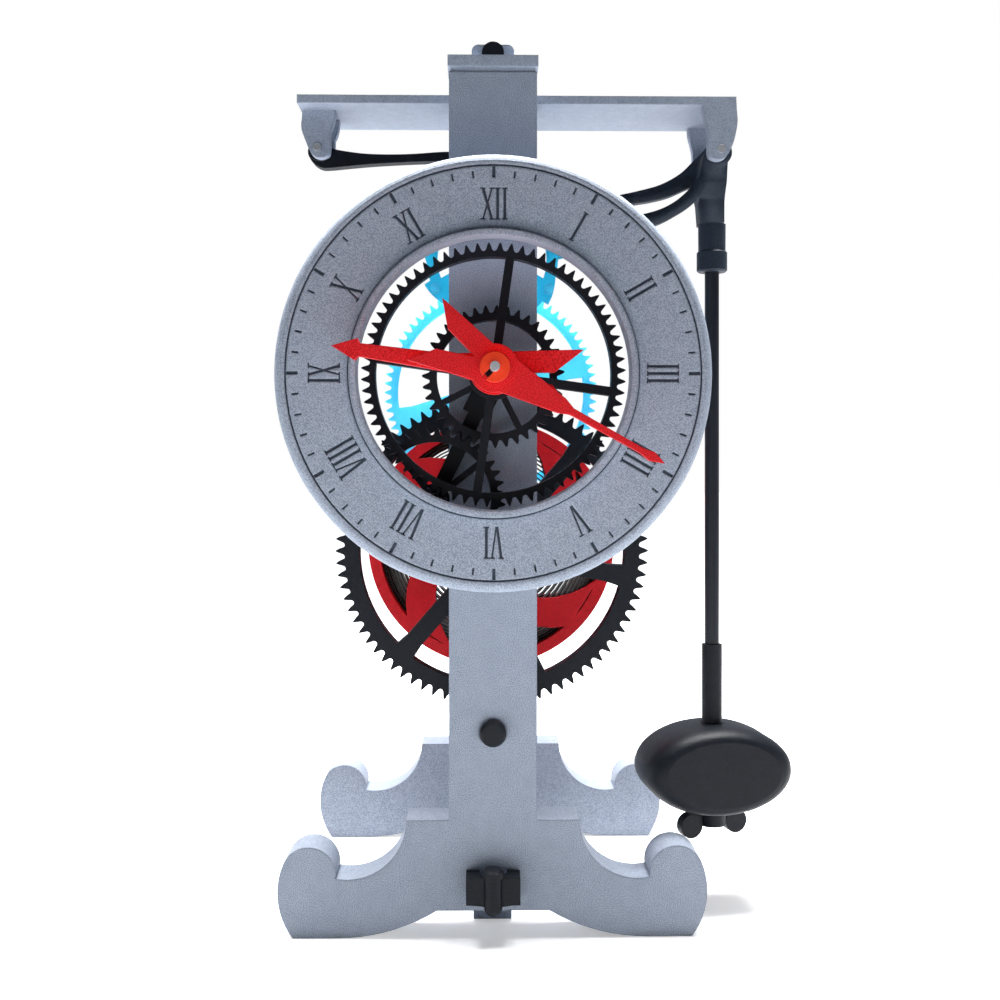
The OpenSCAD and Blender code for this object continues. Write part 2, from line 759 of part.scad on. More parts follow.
module bob_sleeve() {
    low = bob_z + bob_h / 2 - 2;
    color(black) place() translate([pendulum_x, hanger_mid_y, low]) difference() {
        cylinder(27, 3.2, 3.2);
        translate([0, 0, -1]) cylinder(28, rod_d / 2, rod_d / 2);
    }
}

// An oval disc of half-width a and half-height b, thickness t, centred on its rod
module oval(a, b, t) {
    plate(-t / 2, t) polygon([for (i = [0:71]) [a * cos(i * 5), b * sin(i * 5)]]);
}

// Bob: an oval with flat faces and a broad rounded edge
module bob() {
    color(black) place() translate([pendulum_x, hanger_mid_y, bob_z]) rotate([0, 0, bob_turn])
        difference() {
            hull() for (k = [0:5]) oval(bob_a(k), bob_b(k), 2 * bob_c(k));
            translate([0, 0, -40]) cylinder(80, rod_d / 2, rod_d / 2);
            translate([0, 0, bob_h / 2 - 2]) cylinder(8, 3.2, 3.2);
        }
}

ear_r = 3.8;
ear_reach = 8.1;

// Rating nut: a round body with two disc-shaped ears, screwed on the rod's lower end
module rating_nut() {
    color(black) place() translate([pendulum_x, hanger_mid_y, bob_z - bob_h / 2 - 0.3 - nut_h])
        rotate([0, 0, 20]) difference() {
            union() {
                cylinder(nut_h, 4.5, 4.5);
                translate([-ear_reach, -1.3, 1]) cube([2 * ear_reach, 2.6, nut_h - 1.4]);
                for (x = [-ear_reach, ear_reach]) bar(x, nut_h - ear_r - 0.2, -1.6, 3.2, ear_r);
            }
            translate([0, 0, -1]) cylinder(nut_h + 2, rod_d / 2 + run_fit, rod_d / 2 + run_fit);
        }
}

// DIAL AND HANDS

ring_depth = 0.5;
lip_h = 2.4;

module dial() {
    r_out = dial_d / 2;
    r_in = dial_hole_d / 2;
    color(grey) place() translate([0, 0, centre_z]) difference() {
        union() {
            translate([0, dial_back_y, 0]) rotate([90, 0, 0]) rotate_extrude($fn = 180)
                difference() {
                    union() {
                        translate([r_in, 0]) square([r_out - 2 - r_in, dial_t]);
                        translate([r_out - dial_t / 2, dial_t / 2]) circle(dial_t / 2, $fn = 48);
                        translate([r_in, dial_t - 0.5]) square([1.6, lip_h + 0.5]);
                        translate([r_in, dial_t - 0.5]) square([2, lip_h]);
                    }
                    // Engraved rings by the rim and by the opening
                    translate([r_out - 3.6, dial_t - ring_depth]) square([0.45, 1]);
                    translate([r_in + 2, dial_t - ring_depth]) square([0.45, 1]);
                }
            // Posts that hold the dial on the column
            for (p = POSTS) {
                bar(p[0], p[1], dial_back_y - 1, dial_standoff + 1, post_r);
                bar(p[0], p[1], -1, 5.4, peg_r);
            }
        }
        // Nothing may stand in the opening
        bar(0, 0, dial_face_y - 5, dial_t + 10, r_in);
    }
}

module hand_stud() {
    color(steel) place() bar(0, centre_z, stud_end_y, 3.5 - stud_end_y, arbor_d / 2);
}

minute_pipe_r = 3;
hour_pipe_r = 4.6;

module minute_wheel() {
    phase = 4;
    color(black) place() translate([0, 0, centre_z]) difference() {
        union() {
            plate(minute_y, wheel_t) spoked_wheel(minute_rim_r, 5, arbor_d / 2 + run_fit) {
                gear_outline(minute_teeth, wheel_module, EQUAL_TOOTH, phase);
                even_spokes(4, 27, 1.7, minute_rim_r + 0.3);
            }
            bar(0, 0, minute_hand_y - 0.4, minute_y - minute_hand_y + 1, minute_pipe_r);
            bar(0, 0, minute_y + wheel_t - 0.5, -minute_y - wheel_t + 0.2, 4);
        }
        bar(0, 0, stud_end_y, -stud_end_y, arbor_d / 2 + run_fit);
    }
}

module hour_wheel() {
    phase = mesh_phase(hour_teeth, idler_angle, idler_leaves, 0);
    color(black) place() translate([0, 0, centre_z]) difference() {
        union() {
            plate(hour_y, wheel_t) spoked_wheel(hour_rim_r, 7, minute_pipe_r + run_fit) {
                gear_outline(hour_teeth, wheel_module, WHEEL_TOOTH, phase);
                even_spokes(4, 82, 2.5, hour_rim_r + 0.4);
            }
            bar(0, 0, hour_hand_y - 0.4, hour_y - hour_hand_y + 1, hour_pipe_r);
        }
        bar(0, 0, stud_end_y, -stud_end_y, minute_pipe_r + run_fit);
    }
}

// A hand's forked tail: two blades with pointed ends; all radii from the hub
module forked_tail(dir, tip_a, tip_r, notch_a, notch_r, hub_r) {
    half = [[2, hub_r * 0.86], [tip_r * cos(tip_a), tip_r * sin(tip_a)],
        [notch_r * cos(notch_a), notch_r * sin(notch_a)]];
    rotate(dir) polygon(concat(half, [[hub_r * 0.95, 0]],
        [for (i = [2:-1:0]) [half[i][0], -half[i][1]]]));
}

// Directions of the hands' points and tails, at about twenty past nine
minute_dir = -29.3;
minute_tail_dir = 150.9;
hour_dir = 171.8;
hour_tail_dir = -9;

module minute_hand() {
    color(red) place() translate([0, 0, centre_z]) difference() {
        union() {
            bar(0, 0, minute_hand_y, hand_t, 6.3);
            plate(minute_hand_y, hand_t)
                rotate(minute_dir) polygon([[2, 5.07], [20, 2.1], [23, 0.9],
                    [minute_reach - 6.6, 0.75], [minute_reach - 3.8, 1.3], [minute_reach, 0],
                    [minute_reach - 3.8, -1.3], [minute_reach - 6.6, -0.75],
                    [23, -0.9], [20, -2.1], [2, -5.07]]);
            plate(minute_hand_y, hand_t) forked_tail(minute_tail_dir, 24, 22.6, 11, 15.9, 5.8);
        }
        bar(0, 0, minute_hand_y - 1, hand_t + 2, minute_pipe_r);
    }
}

module hour_hand() {
    color(red) place() translate([0, 0, centre_z]) difference() {
        union() {
            plate(hour_hand_y, hand_t) union() {
                circle(6.6);
                rotate(hour_dir) polygon([[2, 4.23], [12, 2.4],
                    [hour_reach - 7.2, 1.7], [hour_reach - 6.4, 2.9], [hour_reach, 0],
                    [hour_reach - 6.4, -2.9], [hour_reach - 7.2, -1.7],
                    [12, -2.4], [2, -4.23]]);
                forked_tail(hour_tail_dir, 21.5, 24.2, 6.3, 15.9, 5.8);
            }
            bar(0, 0, hour_hand_y - 0.6, 2, 6);
        }
        bar(0, 0, hour_hand_y - 2, 12, hour_pipe_r);
    }
}

// Open ring that snaps on the stud's end and keeps the hands on
module hand_clip() {
    color(orange) place() translate([0, 0, centre_z]) plate(clip_y, 2.4) difference() {
        circle(3.9);
        circle(arbor_d / 2);
        rotate(225) translate([0, -0.7]) square([6, 1.4]);
    }
}

// MOTION WORK

arm_y = -3.6;

module idler_arm() {
    color(black) place() translate([0, 0, centre_z]) difference() {
        plate(arm_y, -arm_y) union() {
            translate([idler_dx, idler_dz]) circle(3.4);
            difference() {
                rotate(idler_angle) translate([4.6, -2.2]) square([idler_dist - 4.6, 4.4]);
                circle(4.4);
            }
            // Foot on the column, beside the stud
            difference() {
                rotate(idler_angle) translate([5, -4]) square([7, 8]);
                circle(4.4);
            }
        }
        bar(idler_dx, idler_dz, arm_y - 1, 10, idler_stud_r);
    }
}

idler_stud_r = 1;

module idler_stud() {
    color(steel) place() bar(idler_dx, centre_z + idler_dz, hour_y - 1, -hour_y + 1, idler_stud_r);
}

idler_phase = mesh_phase(minute_teeth, idler_angle + 180, minute_teeth, 4);

module idler_wheel() {
    color(black) place() translate([idler_dx, 0, centre_z + idler_dz]) difference() {
        plate(minute_y, wheel_t) spoked_wheel(minute_rim_r, 4.4, 2.2) {
            gear_outline(minute_teeth, wheel_module, EQUAL_TOOTH, idler_phase);
            even_spokes(4, 38, 1.9, minute_rim_r + 0.3);
        }
    }
}

module idler_pinion() {
    color(black) place() translate([idler_dx, 0, centre_z + idler_dz]) difference() {
        union() {
            plate(hour_y - 0.4, minute_y - hour_y + 0.4)
                gear_outline(idler_leaves, wheel_module, PINION_LEAF, 0);
            bar(0, 0, minute_y, wheel_t + 0.9, 2.2);
        }
        bar(0, 0, -30, 40, idler_stud_r + run_fit);
    }
}

module drive_pinion() {
    phase = mesh_phase(drive_leaves, drive_angle, minute_teeth, idler_phase);
    color(black) place() translate([0, 0, great_z]) plate(minute_y - 0.5, wheel_t + 1) difference() {
        gear_outline(drive_leaves, wheel_module, PINION_LEAF, phase);
        circle(2.8);
    }
}

// GREAT WHEEL, BARREL AND SPRING

winding_r = 2;

module great_wheel() {
    rim_r = great_teeth * great_module / 2 - 6;
    pipe_start = minute_y - 0.5;
    color(black) place() translate([0, 0, great_z]) difference() {
        union() {
            plate(great_y, great_t) spoked_wheel(rim_r, 9, winding_r + run_fit) {
                gear_outline(great_teeth, great_module, WHEEL_TOOTH, 0);
                flared_spokes(6, 49, 5.4, 9, rim_r);
            }
            bar(0, 0, -1.2, great_y + 1.2, pipe_r);
            bar(0, 0, pipe_start, great_y - pipe_start, 2.8);
            // Sleeve that carries the barrel on a smaller spigot
            bar(0, 0, great_y + great_t - 0.5, barrel_y - great_y - great_t + 0.5, 6.2);
            bar(0, 0, barrel_y - 1, plate_t + 1, spigot_r);
        }
        bar(0, 0, pipe_start - 1, barrel_y + plate_t - pipe_start + 2, winding_r + run_fit);
    }
}

barrel_wall = 3.8;
plate_t = 2.4;
spigot_r = 4.6;
barrel_arms = 4;
barrel_in_r = barrel_d / 2 - barrel_wall;

// Curved arms of the barrel's open ends: each sweeps from the hub out into the rim
module crescent_arms() {
    // Angle of an arm's trailing and leading edge at radius r
    steps = 10;
    r0 = 7;
    r1 = barrel_in_r + 0.8;
    radii = [for (k = [0:steps]) r0 + (r1 - r0) * k / steps];
    for (i = [0:barrel_arms - 1]) rotate(i * 360 / barrel_arms)
        polygon(concat(
            [for (r = radii) let (a = 221 - 2.25 * (barrel_in_r - r) - 0.022 * pow(barrel_in_r - r, 2) * 0.2)
                [r * cos(a), r * sin(a)]],
            [for (k = [steps:-1:0]) let (r = radii[k], a = 250 - 2.2 * (barrel_in_r - r))
                [r * cos(a), r * sin(a)]]));
}

module barrel() {
    r = barrel_d / 2;
    color(deep_red) place() translate([0, 0, great_z]) difference() {
        union() {
            plate(barrel_y, barrel_h) difference() {
                circle(r);
                circle(barrel_in_r);
            }
            plate(barrel_y, plate_t) union() {
                crescent_arms();
                circle(9.5);
            }
        }
        bar(0, 0, barrel_y - 1, barrel_h + 2, spigot_r);
    }
}

module barrel_cross() {
    color(deep_red) place() translate([0, 0, great_z])
        plate(barrel_y + barrel_h - plate_t, plate_t) difference() {
            union() {
                difference() {
                    circle(barrel_in_r);
                    circle(barrel_in_r - 2.2);
                }
                intersection() {
                    crescent_arms();
                    circle(barrel_in_r);
                }
                circle(9);
            }
            circle(winding_r + run_fit);
        }
}

// Mainspring: one strip wound outwards from the arbor's core to the barrel's wall
spring_turns = 10;
spring_t = 0.8;
core_r = 6.4;
spring_r0 = core_r + 0.3 + spring_t / 2;
spring_r1 = barrel_in_r - spring_t / 2 - 0.02;
spring_steps = 24;
// The coils lie closer together towards the barrel's wall
function spring_r(t) = spring_r0 + (spring_r1 - spring_r0) * (0.5 * t + 0.5 * (1 - pow(1 - t, 2)));
function spring_point(t, off) = let (a = 360 * spring_turns * t, r = spring_r(t) + off)
    [r * cos(a), r * sin(a)];
spring_n = spring_turns * spring_steps;
// Least gap between neighbouring coils, measured on the points one turn apart
spring_gap = min([for (i = [0:spring_n - spring_steps])
    norm(spring_point((i + spring_steps) / spring_n, 0) - spring_point(i / spring_n, 0))
    - spring_t]);
echo(mainspring_least_gap = spring_gap);

module mainspring() {
    y0 = barrel_y + plate_t + 0.4;
    color(dark_steel) place() translate([0, 0, great_z])
        plate(y0, barrel_h - 2 * plate_t - 0.8)
            polygon(concat(
                [for (i = [0:spring_n]) spring_point(i / spring_n, spring_t / 2)],
                [for (i = [spring_n:-1:0]) spring_point(i / spring_n, -spring_t / 2)]));
}

module winding_arbor() {
    start = great_y - 4;
    color(steel) place() bar(0, great_z, start, key_end_y - 8 - start, winding_r);
}

// Core on the winding arbor that the mainspring is hooked to
module spring_core() {
    color(steel) place() translate([0, 0, great_z]) difference() {
        bar(0, 0, barrel_y + plate_t + 0.4, barrel_h - 2 * plate_t - 0.8, core_r);
        bar(0, 0, barrel_y, barrel_h, winding_r);
    }
}

ratchet_y = back_y + 1;
ratchet_t = 3.4;
ratchet_teeth = 16;
ratchet_r = 11;

module ratchet_wheel() {
    pitch = 360 / ratchet_teeth;
    color(black) place() translate([0, 0, great_z]) plate(ratchet_y, ratchet_t) difference() {
        polygon([for (i = [0:ratchet_teeth - 1]) for (p = [[ratchet_r, 0], [ratchet_r - 1.9, 2]])
            [p[0] * cos(i * pitch + p[1]), p[0] * sin(i * pitch + p[1])]]);
        circle(winding_r);
    }
}

click_x = 8;
click_dz = 17;

module click() {
    color(red) place() difference() {
        plate(ratchet_y, ratchet_t) translate([0, great_z]) union() {
            translate([click_x, click_dz]) circle(3);
            polygon([[click_x - 2.9, click_dz + 0.6], [-4.4, 13.6], [-2.4, 11.6],
                [click_x + 1, click_dz - 2.8]]);
        }
        bar(click_x, great_z + click_dz, back_y, 10, 1.25 + run_fit);
    }
}

module click_screw() {
    color(steel) place() union() {
        bar(click_x, great_z + click_dz, back_y - 5, 5.2, 1);
        bar(click_x, great_z + click_dz, back_y, ratchet_t + 1.2, 1.25);
        bar(click_x, great_z + click_dz, ratchet_y + ratchet_t + 0.2, 1.5, 2.4);
    }
}

// Winding key: a boss with two rounded wings
module winding_key() {
    y0 = ratchet_y + ratchet_t + 0.6;
    color(red) place() translate([0, 0, great_z]) difference() {
        union() {
            bar(0, 0, y0, key_end_y - y0 - 4, 5);
            plate(key_end_y - 10, 6) union() {
                translate([-11, -2.2]) square([22, 4.4]);
                for (s = [-1, 1]) translate([s * 12, 0]) circle(6);
            }
            bar(0, 0, key_end_y - 5, 5, 5);
        }
        bar(0, 0, y0 - 1, key_end_y - 8 - y0 + 1, winding_r);
        for (s = [-1, 1]) bar(s * 12, 0, key_end_y - 12, 12, 2.6);
    }
}

// CENTRE ARBOR

module centre_arbor() {
    start = frame_t - blind + 3.4;
    color(steel) place() bar(0, centre_z, start, rear_y + blind - 0.4 - start, arbor_d / 2);
}

module centre_pinion() {
    phase = mesh_phase(centre_leaves, -90, great_teeth, 0);
    color(black) place() translate([0, 0, centre_z]) plate(great_y - 1.5, great_t + 3) difference() {
        gear_outline(centre_leaves, great_module, PINION_LEAF, phase);
        circle(arbor_d / 2);
    }
}

module centre_wheel() {
    rim_r = centre_teeth * centre_module / 2 - 3.4;
    phase = mesh_phase(centre_teeth, 90, escape_leaves, -90 + 180 / escape_leaves);
    color(blue) place() translate([0, 0, centre_z]) plate(centre_y, wheel_t)
        spoked_wheel(rim_r, 6, arbor_d / 2) {
            gear_outline(centre_teeth, centre_module, WHEEL_TOOTH, phase);
            flared_spokes(4, 17, 7, 6, rim_r);
        }
}

front_frame();
rear_frame();
base_beam();
front_lock_key();
front_lock_pin();
rear_lock_key();
rear_lock_pin();
spacing_bar();
front_peg();
rear_peg();
top_bridge();
front_cap_peg();
rear_cap_peg();
hanger_beam();
pendulum_pin();
detent_pin();
detent_lever();
pendulum_head();
rod_sleeve();
pendulum_rod();
bob_sleeve();
bob();
rating_nut();
dial();
hand_stud();
minute_wheel();
hour_wheel();
minute_hand();
hour_hand();
hand_clip();
idler_arm();
idler_stud();
idler_wheel();
idler_pinion();
drive_pinion();
great_wheel();
barrel();
barrel_cross();
mainspring();
spring_core();
winding_arbor();
ratchet_wheel();
click();
click_screw();
winding_key();
centre_arbor();
centre_pinion();
centre_wheel();
escape_arbor();
escape_pinion();
escape_wheel();
impulse_pins();
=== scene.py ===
# A printed-plastic pendulum clock model in a white light tent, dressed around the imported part.
# Sizes are millimetres in the clock's own layout: X from the columns' centre line to the right,
# Y from the front column's face towards the back, Z up from the table. Table, tent, lamp and
# camera are in metres in the frame itself.
import math

import bmesh
import bpy
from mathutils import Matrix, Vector
from mathutils.geometry import delaunay_2d_cdt


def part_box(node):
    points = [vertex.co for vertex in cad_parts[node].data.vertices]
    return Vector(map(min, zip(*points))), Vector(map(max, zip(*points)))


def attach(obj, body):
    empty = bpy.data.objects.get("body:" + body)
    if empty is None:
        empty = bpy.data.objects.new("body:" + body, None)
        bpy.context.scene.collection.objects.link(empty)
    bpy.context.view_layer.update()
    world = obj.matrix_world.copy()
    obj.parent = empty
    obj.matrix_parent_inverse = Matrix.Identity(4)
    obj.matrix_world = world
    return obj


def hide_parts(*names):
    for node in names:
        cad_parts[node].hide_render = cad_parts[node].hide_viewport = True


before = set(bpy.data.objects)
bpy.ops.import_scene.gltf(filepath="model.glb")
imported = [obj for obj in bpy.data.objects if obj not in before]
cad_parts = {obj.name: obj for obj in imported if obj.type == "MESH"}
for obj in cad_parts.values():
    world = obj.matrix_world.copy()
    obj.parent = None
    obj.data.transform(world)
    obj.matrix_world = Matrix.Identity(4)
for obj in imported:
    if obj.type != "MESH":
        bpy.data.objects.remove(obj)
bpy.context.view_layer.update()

MM = 0.001

# Where the clock's layout lies in the frame: the columns' centre line and the front face
column_low, column_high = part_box("front_frame")
COLUMN_X = (column_low[0] + column_high[0]) / 2
FACE_Y = column_low[1]


def at(x, y, z):
    """A place in the clock's layout, as a place in the frame."""
    return Vector((COLUMN_X + x * MM, FACE_Y + y * MM, z * MM))


# Places and sizes that the dressed pieces share with the part: heights of the hands' and the
# great wheel's axes, and the dial's face and radii
CENTRE_Z = 164.8
GREAT_Z = 112.0
DIAL_FACE_Y = -23.0
DIAL_OUTER_R = 60.6
DIAL_INNER_R = 37.8


# COLOUR AND NODES

def srgb(code):
    """An sRGB hex colour as the linear colour that a shader takes."""
    parts = [int(code[i:i + 2], 16) / 255 for i in (1, 3, 5)]
    return [c / 12.92 if c <= 0.04045 else ((c + 0.055) / 1.055) ** 2.4 for c in parts] + [1.0]


def add(tree, kind, inputs=None, **settings):
    """Adds one node with its settings; its inputs, by name or number, are set or linked."""
    node = tree.nodes.new(kind)
    for name, value in settings.items():
        setattr(node, name, value)
    for name, value in (inputs or {}).items():
        socket = node.inputs[name]
        if isinstance(value, bpy.types.NodeSocket):
            tree.links.new(value, socket)
        else:
            socket.default_value = value
    return node


# Sockets of the Mix node: its share, its two numbers, its two colours, and what comes out
SHARE, NUMBER_A, NUMBER_B, COLOUR_A, COLOUR_B = 0, 2, 3, 6, 7
NUMBER_OUT, COLOUR_OUT = 0, 2

# Length of one band of the Wave node at scale 1, along an axis
BAND = math.pi / 10


def empty_tree(owner):
    """The cleared node tree of a material or of the world."""
    owner.use_nodes = True
    owner.node_tree.nodes.clear()
    return owner.node_tree


# PRINTED PLASTIC

# Sizes of the print, in millimetres. Real layers are 0.2 mm high and real lines 0.42 mm wide;
# both are drawn a little coarser so that they show at all.
LAYER = 0.34
LINE = 0.62
# The filament's sparkle has grains of about 0.05 mm, drawn coarser for the same reason
GRAIN = 0.3
# The wider mottle where plastic flowed unevenly or steel was handled
MOTTLE = 3.0
# Height of the ridges and grains
RELIEF = 0.07
# Ridges against mottle in the colour, and grains against ridges in the relief
RIDGES_IN_COLOUR, GRAINS_IN_RELIEF = 0.3, 0.45
# Cosine of the slope up to which a surface counts as a side, and from which as a flat
SIDE, FLAT = 0.7, 0.85
# How much smoother and rougher than its mean a surface gets from spot to spot
SMOOTHER, ROUGHER = 0.06, 0.1
# A plastic's index of refraction
PLASTIC_IOR = 1.46


def print_lines(tree, place, normal, up):
    """Ridges of the print: layer lines on its sides, slanted fill lines on its flats."""
    facing = add(tree, "ShaderNodeSeparateXYZ", {"Vector": normal})
    flatness = add(tree, "ShaderNodeMath", {0: facing.outputs["XYZ".index(up)]},
                   operation="ABSOLUTE")
    on_flat = add(tree, "ShaderNodeMapRange", {
        "Value": flatness.outputs[0], "From Min": SIDE, "From Max": FLAT})
    layers = add(tree, "ShaderNodeTexWave", {
        "Vector": place, "Scale": BAND / (LAYER * MM), "Distortion": 0.0},
        wave_type="BANDS", bands_direction=up)
    # Diagonal bands run across two of the flat's axes at once, and are never quite straight
    fill = add(tree, "ShaderNodeTexWave", {
        "Vector": place, "Scale": BAND * math.sqrt(2) / (LINE * MM),
        "Distortion": 0.8, "Detail": 1.0, "Detail Scale": 0.4},
        wave_type="BANDS", bands_direction="DIAGONAL")
    return add(tree, "ShaderNodeMix", {
        SHARE: on_flat.outputs[0], NUMBER_A: layers.outputs["Fac"],
        NUMBER_B: fill.outputs["Fac"]}, data_type="FLOAT").outputs[NUMBER_OUT]


def filament_grain(tree, place):
    """Salt-and-pepper fleck of a sparkling filament: most grains are either light or dark."""
    fleck = add(tree, "ShaderNodeTexNoise", {
        "Vector": place, "Scale": 1 / (GRAIN * MM), "Detail": 0.0})
    return add(tree, "ShaderNodeMapRange", {
        "Value": fleck.outputs["Fac"], "From Min": 0.32, "From Max": 0.68}).outputs[0]


def soft_mottle(tree, place):
    """Broad blotches without an edge."""
    blotch = add(tree, "ShaderNodeTexNoise", {
        "Vector": place, "Scale": 1 / (MOTTLE * MM), "Detail": 2.0})
    return add(tree, "ShaderNodeMapRange", {
        "Value": blotch.outputs["Fac"], "From Min": 0.3, "From Max": 0.7,
        "To Min": 0.3, "To Max": 0.7}).outputs[0]


def printed_plastic(name, light, dark, up, rough=0.45, fleck=0.5, shine=0.4, edge=0.3,
                    glow=0.0):
    """Fused-filament plastic between a light and a dark colour, printed with the axis up
    pointing upwards: layer ridges and slanted fill lines, a share fleck of the filament's
    sparkle, an uneven flow and softly rounded edges of radius edge. Thin bright prints also
    let a share glow of the light from behind through."""
    material = bpy.data.materials.new(name)
    tree = empty_tree(material)
    coordinates = add(tree, "ShaderNodeTexCoord")
    place = coordinates.outputs["Object"]
    ridges = print_lines(tree, place, coordinates.outputs["Normal"], up)
    grain = filament_grain(tree, place)
    mottle = soft_mottle(tree, place)

    # Colour: mostly the fleck, then the ridges and the flow
    ridged = add(tree, "ShaderNodeMix", {
        SHARE: RIDGES_IN_COLOUR, NUMBER_A: mottle, NUMBER_B: ridges}, data_type="FLOAT")
    shade = add(tree, "ShaderNodeMix", {
        SHARE: fleck, NUMBER_A: ridged.outputs[NUMBER_OUT], NUMBER_B: grain},
        data_type="FLOAT")
    colour = add(tree, "ShaderNodeMix", {
        SHARE: shade.outputs[NUMBER_OUT], COLOUR_A: srgb(dark), COLOUR_B: srgb(light)},
        data_type="RGBA")

    # Relief: ridges and grains on edges that the printer's nozzle rounds
    rounded = add(tree, "ShaderNodeBevel", {"Radius": edge * MM}, samples=4)
    relief = add(tree, "ShaderNodeMix", {
        SHARE: GRAINS_IN_RELIEF, NUMBER_A: ridges, NUMBER_B: grain}, data_type="FLOAT")
    bump = add(tree, "ShaderNodeBump", {
        "Height": relief.outputs[NUMBER_OUT], "Strength": 0.5, "Distance": RELIEF * MM,
        "Normal": rounded.outputs[0]})
    roughness = add(tree, "ShaderNodeMapRange", {
        "Value": grain, "To Min": rough - SMOOTHER, "To Max": rough + ROUGHER})
    shader = add(tree, "ShaderNodeBsdfPrincipled", {
        "Base Color": colour.outputs[COLOUR_OUT], "Roughness": roughness.outputs[0],
        "Normal": bump.outputs[0], "IOR": PLASTIC_IOR, "Specular IOR Level": shine})
    surface = shader.outputs[0]
    if glow:
        through = add(tree, "ShaderNodeBsdfTranslucent", {
            "Color": colour.outputs[COLOUR_OUT], "Normal": bump.outputs[0]})
        surface = add(tree, "ShaderNodeMixShader", {
            0: glow, 1: surface, 2: through.outputs[0]}).outputs[0]
    add(tree, "ShaderNodeOutputMaterial", {"Surface": surface})
    return material


# Silk grey PLA, printed flat: the frame plates and the dial, with a clear salt-and-pepper
# sparkle on their broad faces and soft pale edges
GREY_LIGHT, GREY_DARK = "#B8C1D0", "#7A8597"
grey_flat = printed_plastic("Grey_PLA_printed_flat", GREY_LIGHT, GREY_DARK, "Y",
                            rough=0.5, fleck=0.6, shine=0.3, edge=0.8)
# The same grey, printed upright: beams and bridge, smoother and with level layer lines
grey_upright = printed_plastic("Grey_PLA_printed_upright", GREY_LIGHT, GREY_DARK, "Z",
                               fleck=0.4, shine=0.3, edge=0.7)
# Painted shade: the same grey, darkened, at the bottom of the dial's engraved lines, where no
# light gets in
groove_painted_shade = printed_plastic("Grey_PLA_groove_painted_shade", "#5A6472", "#3E4754", "Y",
                              rough=0.6, shine=0.2, edge=0.1)
# Black PLA, printed flat: wheels and levers, nearly black with a dull sheen
BLACK_LIGHT, BLACK_DARK = "#1E222A", "#0F1217"
black_flat = printed_plastic("Black_PLA_printed_flat", BLACK_LIGHT, BLACK_DARK, "Y",
                             rough=0.42, shine=0.22)
# The same black, printed upright: keys, pins, bob and nut, with fine level rings
black_upright = printed_plastic("Black_PLA_printed_upright", BLACK_LIGHT, BLACK_DARK, "Z",
                                rough=0.4, shine=0.22)
# Charcoal PLA: the pendulum's head and its sleeve look a little lighter and bluer
CHARCOAL_LIGHT, CHARCOAL_DARK = "#38414E", "#222933"
charcoal_flat = printed_plastic("Charcoal_PLA_printed_flat", CHARCOAL_LIGHT, CHARCOAL_DARK,
                                "Y", rough=0.42, shine=0.2)
charcoal_upright = printed_plastic("Charcoal_PLA_printed_upright", CHARCOAL_LIGHT,
                                   CHARCOAL_DARK, "Z", rough=0.4, shine=0.2)
# Bright red PLA: the hands, with a strong dark fleck in a saturated red
red_flat = printed_plastic("Red_PLA_printed_flat", "#F42C32", "#C01218", "Y",
                           rough=0.4, fleck=0.85, shine=0.25)
# Deeper red PLA of the drum, evener than the hands
drum_flat = printed_plastic("Deep_red_PLA_printed_flat", "#EA1E2A", "#BC121C", "Y",
                            rough=0.42, shine=0.25)
# Orange PLA of the clip, a small glossy ring
orange_flat = printed_plastic("Orange_PLA_printed_flat", "#FF4A24", "#F03818", "Y", rough=0.35)
# Light blue PLA, thin enough for the white behind it to shine through
blue_flat = printed_plastic("Light_blue_PLA_printed_flat", "#92E6F8", "#78D6F0", "Y",
                            rough=0.4, fleck=0.3, glow=0.85)
# Stronger blue of the thicker escape wheel, which lets less light through
sky_flat = printed_plastic("Sky_blue_PLA_printed_flat", "#74DEF0", "#56CAE2", "Y",
                           rough=0.4, fleck=0.3, glow=0.8)


# STEEL

# Steel under a thin dull film from handling, so not quite a bare metal to the eye
BARE_METAL = 0.7
# Rounding of a rod's end and depth of its drawing marks, in millimetres
ROD_EDGE, DRAWING_MARK = 0.15, 0.02
# Drawing marks against blotches in the colour
MARKS_IN_COLOUR = 0.35


def drawn_steel(name, light, dark, rough, mark_pitch):
    """Steel rod or strip: fine drawing marks a pitch in millimetres apart, and dull blotches
    where it was handled."""
    material = bpy.data.materials.new(name)
    tree = empty_tree(material)
    place = add(tree, "ShaderNodeTexCoord").outputs["Object"]
    rings = add(tree, "ShaderNodeTexWave", {
        "Vector": place, "Scale": BAND / (mark_pitch * MM), "Distortion": 0.0},
        wave_type="BANDS", bands_direction="Y")
    handled = soft_mottle(tree, place)
    shade = add(tree, "ShaderNodeMix", {
        SHARE: MARKS_IN_COLOUR, NUMBER_A: handled, NUMBER_B: rings.outputs["Fac"]},
        data_type="FLOAT")
    colour = add(tree, "ShaderNodeMix", {
        SHARE: shade.outputs[NUMBER_OUT], COLOUR_A: srgb(dark), COLOUR_B: srgb(light)},
        data_type="RGBA")
    roughness = add(tree, "ShaderNodeMapRange", {
        "Value": handled, "To Min": rough - SMOOTHER, "To Max": rough + ROUGHER})
    rounded = add(tree, "ShaderNodeBevel", {"Radius": ROD_EDGE * MM}, samples=4)
    bump = add(tree, "ShaderNodeBump", {
        "Height": rings.outputs["Fac"], "Strength": 0.3, "Distance": DRAWING_MARK * MM,
        "Normal": rounded.outputs[0]})
    shader = add(tree, "ShaderNodeBsdfPrincipled", {
        "Base Color": colour.outputs[COLOUR_OUT], "Roughness": roughness.outputs[0],
        "Metallic": BARE_METAL, "Normal": bump.outputs[0]})
    add(tree, "ShaderNodeOutputMaterial", {"Surface": shader.outputs[0]})
    return material


# Bright drawn rod: pins, arbors, stud and screw, pale with a soft sheen. Real marks are finer
# than 0.3 mm and wouldn't show.
steel = drawn_steel("Steel_rod_drawn_bright", "#E6E8EA", "#C2C6CC", 0.42, 0.3)
